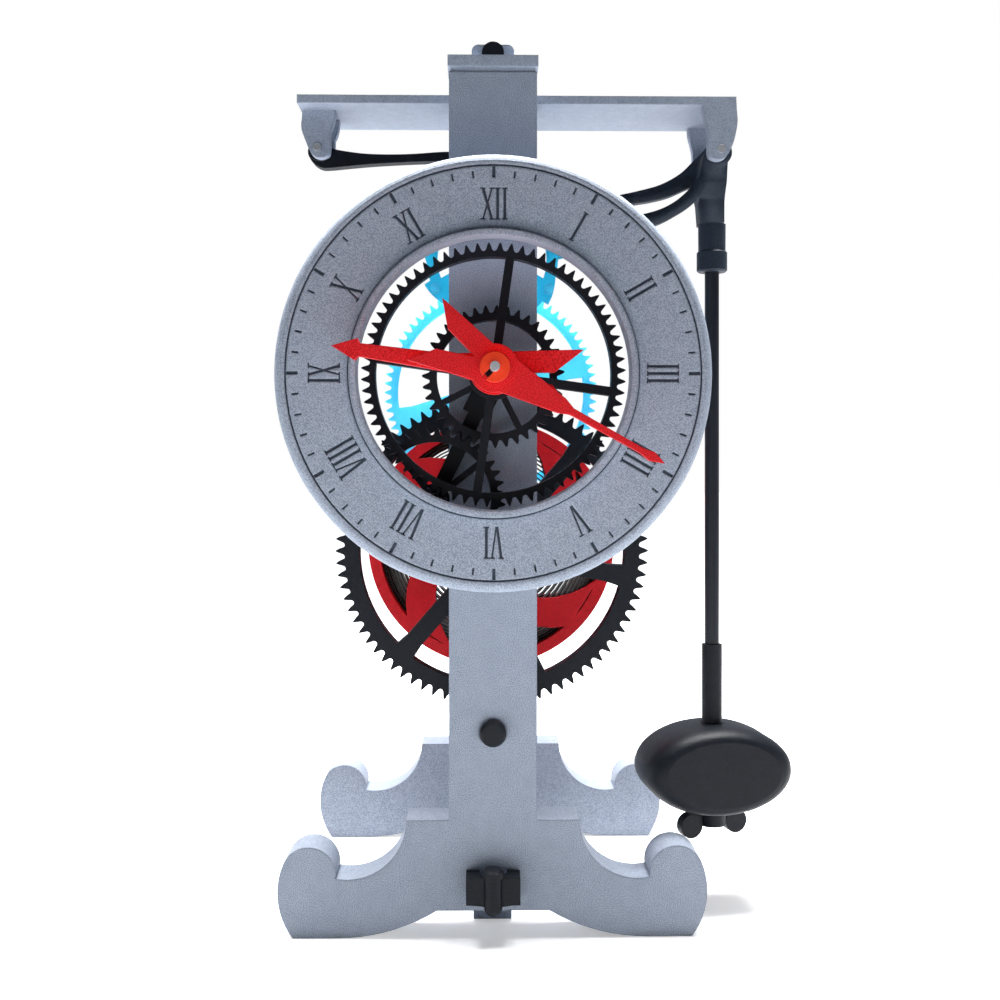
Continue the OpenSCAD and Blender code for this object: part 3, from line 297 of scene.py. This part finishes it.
# Rolled and blued strip of the mainspring: nearly black, with brown where it catches light
blued_strip = drawn_steel("Spring_strip_rolled_and_blued", "#4A3D36", "#241E1C", 0.34, 0.25)


# CARBON ROD

# Width of a bundle of fibres in millimetres, drawn coarser than the real fibres of 0.007 mm
# so that it shows at all
FIBRE = 0.35
# Scale of the pattern along the rod: a streak is some thirty times as long as it is wide
LENGTHWISE = 0.03
# How far the fibres stand out in the resin, in millimetres, and its smoothest and roughest spots
FIBRE_RELIEF = 0.03
RESIN_SMOOTH, RESIN_ROUGH = 0.28, 0.48
RESIN_IOR = 1.5


def pultruded_rod(name, light, dark):
    """Carbon rod: dark streaks of fibre along its length under a half-gloss resin."""
    material = bpy.data.materials.new(name)
    tree = empty_tree(material)
    place = add(tree, "ShaderNodeTexCoord").outputs["Object"]
    lengthwise = add(tree, "ShaderNodeMapping", {
        "Vector": place, "Scale": (1, 1, LENGTHWISE)})
    fibres = add(tree, "ShaderNodeTexNoise", {
        "Vector": lengthwise.outputs[0], "Scale": 1 / (FIBRE * MM), "Detail": 1.0})
    colour = add(tree, "ShaderNodeMix", {
        SHARE: fibres.outputs["Fac"], COLOUR_A: srgb(dark), COLOUR_B: srgb(light)},
        data_type="RGBA")
    roughness = add(tree, "ShaderNodeMapRange", {
        "Value": fibres.outputs["Fac"], "To Min": RESIN_SMOOTH, "To Max": RESIN_ROUGH})
    bump = add(tree, "ShaderNodeBump", {
        "Height": fibres.outputs["Fac"], "Strength": 0.3, "Distance": FIBRE_RELIEF * MM})
    shader = add(tree, "ShaderNodeBsdfPrincipled", {
        "Base Color": colour.outputs[COLOUR_OUT], "Roughness": roughness.outputs[0],
        "Normal": bump.outputs[0], "IOR": RESIN_IOR, "Specular IOR Level": 0.3})
    add(tree, "ShaderNodeOutputMaterial", {"Surface": shader.outputs[0]})
    return material


# Pultruded carbon: the pendulum's rod, black with a long narrow highlight
rod_carbon = pultruded_rod("Carbon_rod_pultruded", "#262A33", "#14171C")


# FINISH OF EACH CAD NODE

FINISH = {
    grey_flat: ["front_frame", "rear_frame", "dial"],
    grey_upright: ["base_beam", "spacing_bar", "top_bridge", "hanger_beam"],
    black_flat: ["detent_lever", "minute_wheel", "hour_wheel", "idler_arm", "idler_wheel",
                 "idler_pinion", "drive_pinion", "great_wheel", "ratchet_wheel",
                 "centre_pinion", "front_peg", "rear_peg", "front_cap_peg", "rear_cap_peg"],
    black_upright: ["front_lock_key", "front_lock_pin", "rear_lock_key", "rear_lock_pin",
                    "bob", "bob_sleeve", "rating_nut"],
    rod_carbon: ["pendulum_rod"],
    charcoal_flat: ["pendulum_head"],
    charcoal_upright: ["rod_sleeve"],
    red_flat: ["minute_hand", "hour_hand", "click", "winding_key"],
    drum_flat: ["barrel", "barrel_cross"],
    orange_flat: ["hand_clip"],
    blue_flat: ["centre_wheel", "escape_pinion", "impulse_pins"],
    sky_flat: ["escape_wheel"],
    steel: ["pendulum_pin", "detent_pin", "hand_stud", "idler_stud", "winding_arbor",
            "spring_core", "click_screw", "centre_arbor", "escape_arbor"],
    blued_strip: ["mainspring"],
}
for material, nodes in FINISH.items():
    for node in nodes:
        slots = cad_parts[node].data.materials
        slots.clear()
        slots.append(material)


# COPIES OF CAD PIECES

def linked(piece):
    """Puts an object into the scene."""
    bpy.context.scene.collection.objects.link(piece)
    return piece


def mesh_object(name, mesh):
    """An object of a finished bmesh, put into the scene."""
    data = bpy.data.meshes.new(name)
    mesh.to_mesh(data)
    mesh.free()
    return linked(bpy.data.objects.new(name, data))


def copy_of(node, name):
    """A copy of a CAD node's piece, in the node's place."""
    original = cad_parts[node]
    piece = bpy.data.objects.new(name, original.data.copy())
    piece.matrix_world = original.matrix_world.copy()
    return linked(piece)


def cut_copy(node, name, cutter):
    """A copy of a CAD node's piece with a cutter taken out of it."""
    piece = copy_of(node, name)
    cut = piece.modifiers.new("Cut", "BOOLEAN")
    cut.operation, cut.solver, cut.object = "DIFFERENCE", "EXACT", cutter
    bpy.context.view_layer.update()
    result = bpy.data.meshes.new_from_object(
        piece.evaluated_get(bpy.context.evaluated_depsgraph_get()))
    piece.modifiers.clear()
    piece.data = result
    bpy.data.objects.remove(cutter)
    return piece


def smooth_up_to(mesh, degrees):
    """Shades a mesh smooth, but for edges with a sharper turn than this."""
    mesh.shade_smooth()
    mesh.set_sharp_from_angle(angle=math.radians(degrees))


# Cosine from which a face counts as looking straight along a direction
STRAIGHT = 0.999


def keep_flat(mesh, way):
    """Shades those faces flat that look straight along a direction or against it."""
    for face in mesh.polygons:
        face.use_smooth = abs(face.normal.dot(way)) < STRAIGHT


# ENGRAVED DIAL

# Depth of the engraving, widths of a thick and a thin stroke, width and height of a serif,
# radius of a numeral's foot and a numeral's height
ENGRAVE = 0.5
THICK, THIN = 0.72, 0.44
SERIF_W, SERIF_H = 1.5, 0.34
NUMERAL_LOW, NUMERAL_TALL = 42.2, 8.8
# Inner radius, outer radius and width of a tick
MINUTE_TICK = (53.9, 55.8, 0.47)
HOUR_TICK = (53.8, 56.9, 0.84)
# Half-width of each letter, between the middles of its outer strokes
LETTER_HALF = {"I": 0.0, "V": 1.3, "X": 1.25}
# Pitch between two plain strokes, and the share of a wide letter's half-width that it adds
STROKE_PITCH, WIDE_SHARE = 1.96, 0.66
# Distance of the foot of each of a V's strokes from the letter's middle
V_FOOT = 0.12
# How far in front of the face the cutter starts
CUTTER_START = 0.3
NUMERALS = ["XII", "I", "II", "III", "IIII", "V", "VI", "VII", "VIII", "IX", "X", "XI"]


def letter_step(first, second):
    """Pitch between two letters' middles, so that their serifs just join."""
    return STROKE_PITCH + WIDE_SHARE * (LETTER_HALF[first] + LETTER_HALF[second])


def stroke(low_x, high_x, width):
    """A slanted stroke with level ends, from the numeral's foot to its top."""
    half = width / 2
    return [(low_x - half, 0), (low_x + half, 0), (high_x + half, NUMERAL_TALL),
            (high_x - half, NUMERAL_TALL)]


def serif(x, on_top):
    """A thin bar across a stroke's end."""
    low = NUMERAL_TALL - SERIF_H if on_top else 0
    half = SERIF_W / 2
    return [(x - half, low), (x + half, low), (x + half, low + SERIF_H), (x - half, low + SERIF_H)]


def letter(kind, x):
    """Outlines of one letter with its middle at x."""
    half = LETTER_HALF[kind]
    if kind == "I":
        return [stroke(x, x, THICK), serif(x, True), serif(x, False)]
    if kind == "V":
        return [stroke(x - V_FOOT, x - half, THICK), stroke(x + V_FOOT, x + half, THIN),
                serif(x - half, True), serif(x + half, True)]
    return [stroke(x + half, x - half, THICK), stroke(x - half, x + half, THIN),
            serif(x - half, True), serif(x + half, True),
            serif(x - half, False), serif(x + half, False)]


def numeral(letters):
    """Outlines of a numeral, centred between its outermost strokes."""
    places = [0.0]
    for first, second in zip(letters, letters[1:]):
        places.append(places[-1] + letter_step(first, second))
    low = places[0] - LETTER_HALF[letters[0]]
    high = places[-1] + LETTER_HALF[letters[-1]]
    middle = (low + high) / 2
    return [outline for kind, x in zip(letters, places) for outline in letter(kind, x - middle)]


def turned(outline, angle, radius):
    """An outline stood on a circle of the dial at an angle, its top pointing outwards."""
    out = Vector((math.cos(angle), math.sin(angle)))
    right = Vector((out.y, -out.x))
    return [right * x + out * (radius + y) for x, y in outline]


def dial_marks():
    """Outlines of every tick and numeral, in the dial's plane."""
    marks = []
    for minute in range(60):
        low, high, width = HOUR_TICK if minute % 5 == 0 else MINUTE_TICK
        bar = [(-width / 2, 0), (width / 2, 0), (width / 2, high - low), (-width / 2, high - low)]
        marks.append(turned(bar, math.radians(90 - 6 * minute), low))
    for hour, letters in enumerate(NUMERALS):
        for outline in numeral(letters):
            marks.append(turned(outline, math.radians(90 - 30 * hour), NUMERAL_LOW))
    return marks


def engraving_cutter(outlines):
    """One clean solid per mark: the outlines are merged in the plane, then given depth."""
    points = [point for outline in outlines for point in outline]
    rings, start = [], 0
    for outline in outlines:
        rings.append(list(range(start, start + len(outline))))
        start += len(outline)
    flat_points, _, triangles = delaunay_2d_cdt(points, [], rings, 1, 1e-5)[:3]
    mesh = bmesh.new()
    front = [mesh.verts.new(at(p.x, DIAL_FACE_Y - CUTTER_START, CENTRE_Z + p.y))
             for p in flat_points]
    faces = [mesh.faces.new([front[i] for i in triangle]) for triangle in triangles]
    deep = bmesh.ops.extrude_face_region(mesh, geom=faces)["geom"]
    bmesh.ops.translate(mesh, verts=[v for v in deep if isinstance(v, bmesh.types.BMVert)],
                        vec=(0, (ENGRAVE + CUTTER_START) * MM, 0))
    bmesh.ops.recalc_face_normals(mesh, faces=mesh.faces)
    return mesh_object("Engraving_cutter", mesh)


dial = cut_copy("dial", "Engraved_dial", engraving_cutter(dial_marks()))
engraved = dial.data
engraved.materials.clear()
engraved.materials.append(grey_flat)
# The second slot holds the painted shade of the grooves
engraved.materials.append(groove_painted_shade)

# Whatever lies just under the face, ticks, numerals and the two turned rings, is groove and gets
# the painted shade. The lip inside and the rounded rim outside are not, so a margin is left for
# each of them.
LIP_MARGIN, RIM_MARGIN = 1.9, 2.9
GROOVE_DEPTHS = (0.02, ENGRAVE + 0.05)
centre = at(0, DIAL_FACE_Y, CENTRE_Z)
for face in engraved.polygons:
    place = (dial.matrix_world @ face.center - centre) / MM
    radius = math.hypot(place.x, place.z)
    face.material_index = int(
        GROOVE_DEPTHS[0] < place.y < GROOVE_DEPTHS[1]
        and DIAL_INNER_R + LIP_MARGIN < radius < DIAL_OUTER_R - RIM_MARGIN)
# Only the rounded rim and the lip are smoothed
smooth_up_to(engraved, degrees=28)
keep_flat(engraved, Vector((0, 1, 0)))
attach(dial, "frame")
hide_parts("dial")


# MAINSPRING

# The wound strip, in the room that the part's own spring fills: as thin and as many turns as in
# a real drum, closer together towards the drum's wall
SPRING_TURNS, STRIP = 21, 0.42
SPRING_INSIDE_R, SPRING_OUTSIDE_R = 6.7, 38.63
SPRING_FRONT, SPRING_BACK = 60.8, 67.7
# How much of the winding is crowded outwards
CROWDED = 0.5
TURN_STEPS = 48


def wound_strip():
    """One strip wound outwards, with a rectangular section."""
    mesh = bmesh.new()
    steps = SPRING_TURNS * TURN_STEPS
    rows = []
    for step in range(steps + 1):
        t = step / steps
        angle = 2 * math.pi * SPRING_TURNS * t
        outward = (1 - CROWDED) * t + CROWDED * (1 - (1 - t) ** 2)
        inside = SPRING_INSIDE_R + (SPRING_OUTSIDE_R - SPRING_INSIDE_R - STRIP) * outward
        outside = inside + STRIP
        row = []
        for radius, y in ((inside, SPRING_FRONT), (outside, SPRING_FRONT),
                          (outside, SPRING_BACK), (inside, SPRING_BACK)):
            row.append(mesh.verts.new(
                at(radius * math.cos(angle), y, GREAT_Z + radius * math.sin(angle))))
        rows.append(row)
    for row, after in zip(rows, rows[1:]):
        for k in range(4):
            mesh.faces.new((row[k], row[(k + 1) % 4], after[(k + 1) % 4], after[k]))
    mesh.faces.new(rows[0])
    mesh.faces.new(rows[-1])
    bmesh.ops.recalc_face_normals(mesh, faces=mesh.faces)
    return mesh_object("Wound_mainspring", mesh)


spring = wound_strip()
spring.data.materials.append(blued_strip)
smooth_up_to(spring.data, degrees=30)
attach(spring, "great")
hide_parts("mainspring")


# CLICK SCREW

# The driver's slot right across the head: its length, depth and width in millimetres
SLOT_LENGTH, SLOT_DEPTH, SLOT_WIDTH = 6.0, 0.8, 0.8


def slot_cutter(node):
    """A bar across the middle of a screw's head, sunk to the slot's depth from behind."""
    low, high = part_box(node)
    mesh = bmesh.new()
    bmesh.ops.create_cube(mesh, size=1.0)
    bmesh.ops.scale(mesh, verts=mesh.verts,
                    vec=(SLOT_LENGTH * MM, 2 * SLOT_DEPTH * MM, SLOT_WIDTH * MM))
    bmesh.ops.translate(mesh, verts=mesh.verts, vec=(
        (low[0] + high[0]) / 2, high[1], (low[2] + high[2]) / 2))
    return mesh_object("Slot_cutter", mesh)


screw = cut_copy("click_screw", "Slotted_click_screw", slot_cutter("click_screw"))
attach(screw, "frame")
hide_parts("click_screw")


# PENDULUM HEAD AND BOB

# Corners closer together than this, in millimetres, are one corner
SAME_CORNER = 0.002


def smooth_copy(node, name, degrees):
    """A copy of one of the pendulum's printed pieces, whose shallow facets are shaded as one
    smooth surface."""
    piece = copy_of(node, name)
    mesh = bmesh.new()
    mesh.from_mesh(piece.data)
    bmesh.ops.remove_doubles(mesh, verts=mesh.verts, dist=SAME_CORNER * MM)
    mesh.to_mesh(piece.data)
    mesh.free()
    smooth_up_to(piece.data, degrees)
    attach(piece, "pendulum")
    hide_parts(node)
    return piece


smooth_copy("pendulum_head", "Smooth_pendulum_head", degrees=60)
bob = smooth_copy("bob", "Smooth_bob", degrees=30)
# The bob's two faces stay flat inside its rounded edge. It is turned a little about its rod.
BOB_TURN = math.radians(8)
keep_flat(bob.data, Vector((math.sin(BOB_TURN), -math.cos(BOB_TURN), 0)))


# TABLE

FLOOR_SIZE = 8.0
# The table lies a hair below the feet, so that no two faces coincide
FLOOR_DROP = 0.0002

floor_mesh = bmesh.new()
bmesh.ops.create_grid(floor_mesh, x_segments=1, y_segments=1, size=FLOOR_SIZE / 2)
floor = mesh_object("Table_top", floor_mesh)
floor.location.z = -FLOOR_DROP

# Matt white board: even and without gloss. Near the clock it keeps the clock's shadow. A painted
# glow, seen by camera and transmission rays, grows between two distances from the middle, so that
# further out the board looks as white as the tent and the clock's shadow there is washed out with
# painted light.
GLOW_NEAR, GLOW_FAR = 0.05, 0.11
GLOW_UNDER_CLOCK = 0.4
# Width of the board's soft clouds in millimetres, far coarser than its fibres
CLOUD = 40.0
board = bpy.data.materials.new("White_board_matt")
tree = empty_tree(board)
place = add(tree, "ShaderNodeTexCoord").outputs["Object"]
clouds = add(tree, "ShaderNodeTexNoise", {
    "Vector": place, "Scale": 1 / (CLOUD * MM), "Detail": 2.0})
paper = add(tree, "ShaderNodeMix", {
    SHARE: clouds.outputs["Fac"], COLOUR_A: srgb("#F1F3F5"), COLOUR_B: srgb("#F6F7F8")},
    data_type="RGBA")
path = add(tree, "ShaderNodeLightPath")
seen = add(tree, "ShaderNodeMath", {
    0: path.outputs["Is Camera Ray"], 1: path.outputs["Is Transmission Ray"]},
    operation="MAXIMUM")
distance = add(tree, "ShaderNodeVectorMath", {0: place}, operation="LENGTH")
painted_glow_level = add(tree, "ShaderNodeMapRange", {
    "Value": distance.outputs["Value"], "From Min": GLOW_NEAR, "From Max": GLOW_FAR,
    "To Min": GLOW_UNDER_CLOCK, "To Max": 1.0})
glow = add(tree, "ShaderNodeMath", {0: seen.outputs[0], 1: painted_glow_level.outputs[0]},
           operation="MULTIPLY")
shader = add(tree, "ShaderNodeBsdfPrincipled", {
    "Base Color": paper.outputs[COLOUR_OUT], "Roughness": 0.9, "Specular IOR Level": 0.2,
    "Emission Color": srgb("#FFFFFF"), "Emission Strength": glow.outputs[0]})
add(tree, "ShaderNodeOutputMaterial", {"Surface": shader.outputs[0]})
floor.data.materials.append(board)


# LIGHT TENT

# The tent is white where it is seen. What it throws on the clock is soft, with hardly any light
# from the camera's side and the most from behind.
FRONT_LIGHT, BACK_LIGHT = 0.03, 0.42
# Directions between which it grows, as their share towards the back
GROWS_FROM, GROWS_TO = -0.1, 0.4
world = bpy.data.worlds.new("Light_tent")
bpy.context.scene.world = world
tree = empty_tree(world)
path = add(tree, "ShaderNodeLightPath")
direction = add(tree, "ShaderNodeSeparateXYZ", {
    "Vector": add(tree, "ShaderNodeTexCoord").outputs["Generated"]})
depth = add(tree, "ShaderNodeMapRange", {
    "Value": direction.outputs["Y"], "From Min": GROWS_FROM, "From Max": GROWS_TO,
    "To Min": FRONT_LIGHT, "To Max": BACK_LIGHT})
glow = add(tree, "ShaderNodeBackground", {"Color": srgb("#F4F8FF"), "Strength": depth.outputs[0]})
white = add(tree, "ShaderNodeBackground", {"Color": srgb("#FFFFFF"), "Strength": 1.0})
both = add(tree, "ShaderNodeMixShader", {
    0: path.outputs["Is Camera Ray"], 1: glow.outputs[0], 2: white.outputs[0]})
add(tree, "ShaderNodeOutputWorld", {"Surface": both.outputs[0]})


def soft_box(name, place, aim, width, height, power):
    """A rectangular lamp behind a diffuser."""
    data = bpy.data.lights.new(name, "AREA")
    data.shape = "RECTANGLE"
    data.size, data.size_y = width, height
    data.energy = power
    lamp = bpy.data.objects.new(name, data)
    lamp.location = place
    lamp.rotation_euler = (Vector(aim) - Vector(place)).to_track_quat("-Z", "Y").to_euler()
    return linked(lamp)


# Its front edge hangs above the dial's face, so faces that look forward are lit mostly by the
# table
soft_box("Top_box", (0.0, 0.06, 0.68), (0, 0.06, 0), width=0.6, height=0.24, power=19.0)


# CAMERA

# A normal lens, level, a little to the left of the columns and turned a little to the right
camera_data = bpy.data.cameras.new("Camera")
camera_data.lens = 40.95
camera_data.sensor_width = 36.0
camera_data.shift_y = -0.044
camera_data.clip_start = 0.01
camera = linked(bpy.data.objects.new("Camera", camera_data))
camera.location = (COLUMN_X - 0.00354, -0.3728, 0.142)
camera.rotation_euler = (math.radians(90), 0, math.radians(-0.957))
bpy.context.scene.camera = camera
bpy.context.scene.view_settings.view_transform = "Standard"
